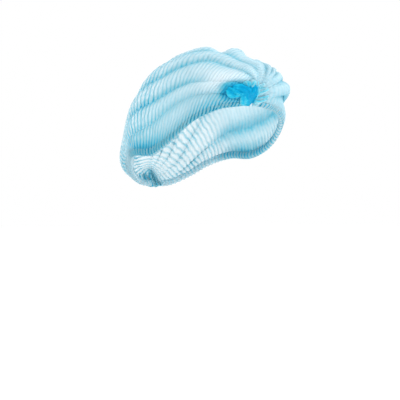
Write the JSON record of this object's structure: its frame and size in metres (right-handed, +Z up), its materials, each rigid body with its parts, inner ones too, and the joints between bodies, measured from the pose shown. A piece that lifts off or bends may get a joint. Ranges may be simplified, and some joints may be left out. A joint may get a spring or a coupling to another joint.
{
  "type": "disposable clip cap hairnet",
  "caption": "Pleated crimped non-woven cap for covering the hair, gathered to a welded bunch at brow and nape, with an elasticated rim.",
  "frame": {"origin": "the middle of the opening at rim height, where a head sits in the cap", "axes": "+Z up, -Y towards the brow, +X towards the wearer's left; the head enters along +Z"},
  "size_m": [0.171, 0.2113, 0.167],
  "materials": {
    "web": "thin translucent spunbond non-woven, crimped, pale cyan blue",
    "hem": "the same non-woven folded over and gathered, mid cyan blue",
    "elastic": "matt white elastic thread",
    "bunch": "many layers of the non-woven welded together, saturated cyan blue"
  },
  "bodies": {
    "root": {"pleated_web": "web", "hem_right": "hem", "hem_left": "hem", "elastic_right": "elastic", "elastic_left": "elastic", "front_bunch": "bunch", "rear_bunch": "bunch"}
  },
  "joints": []
}
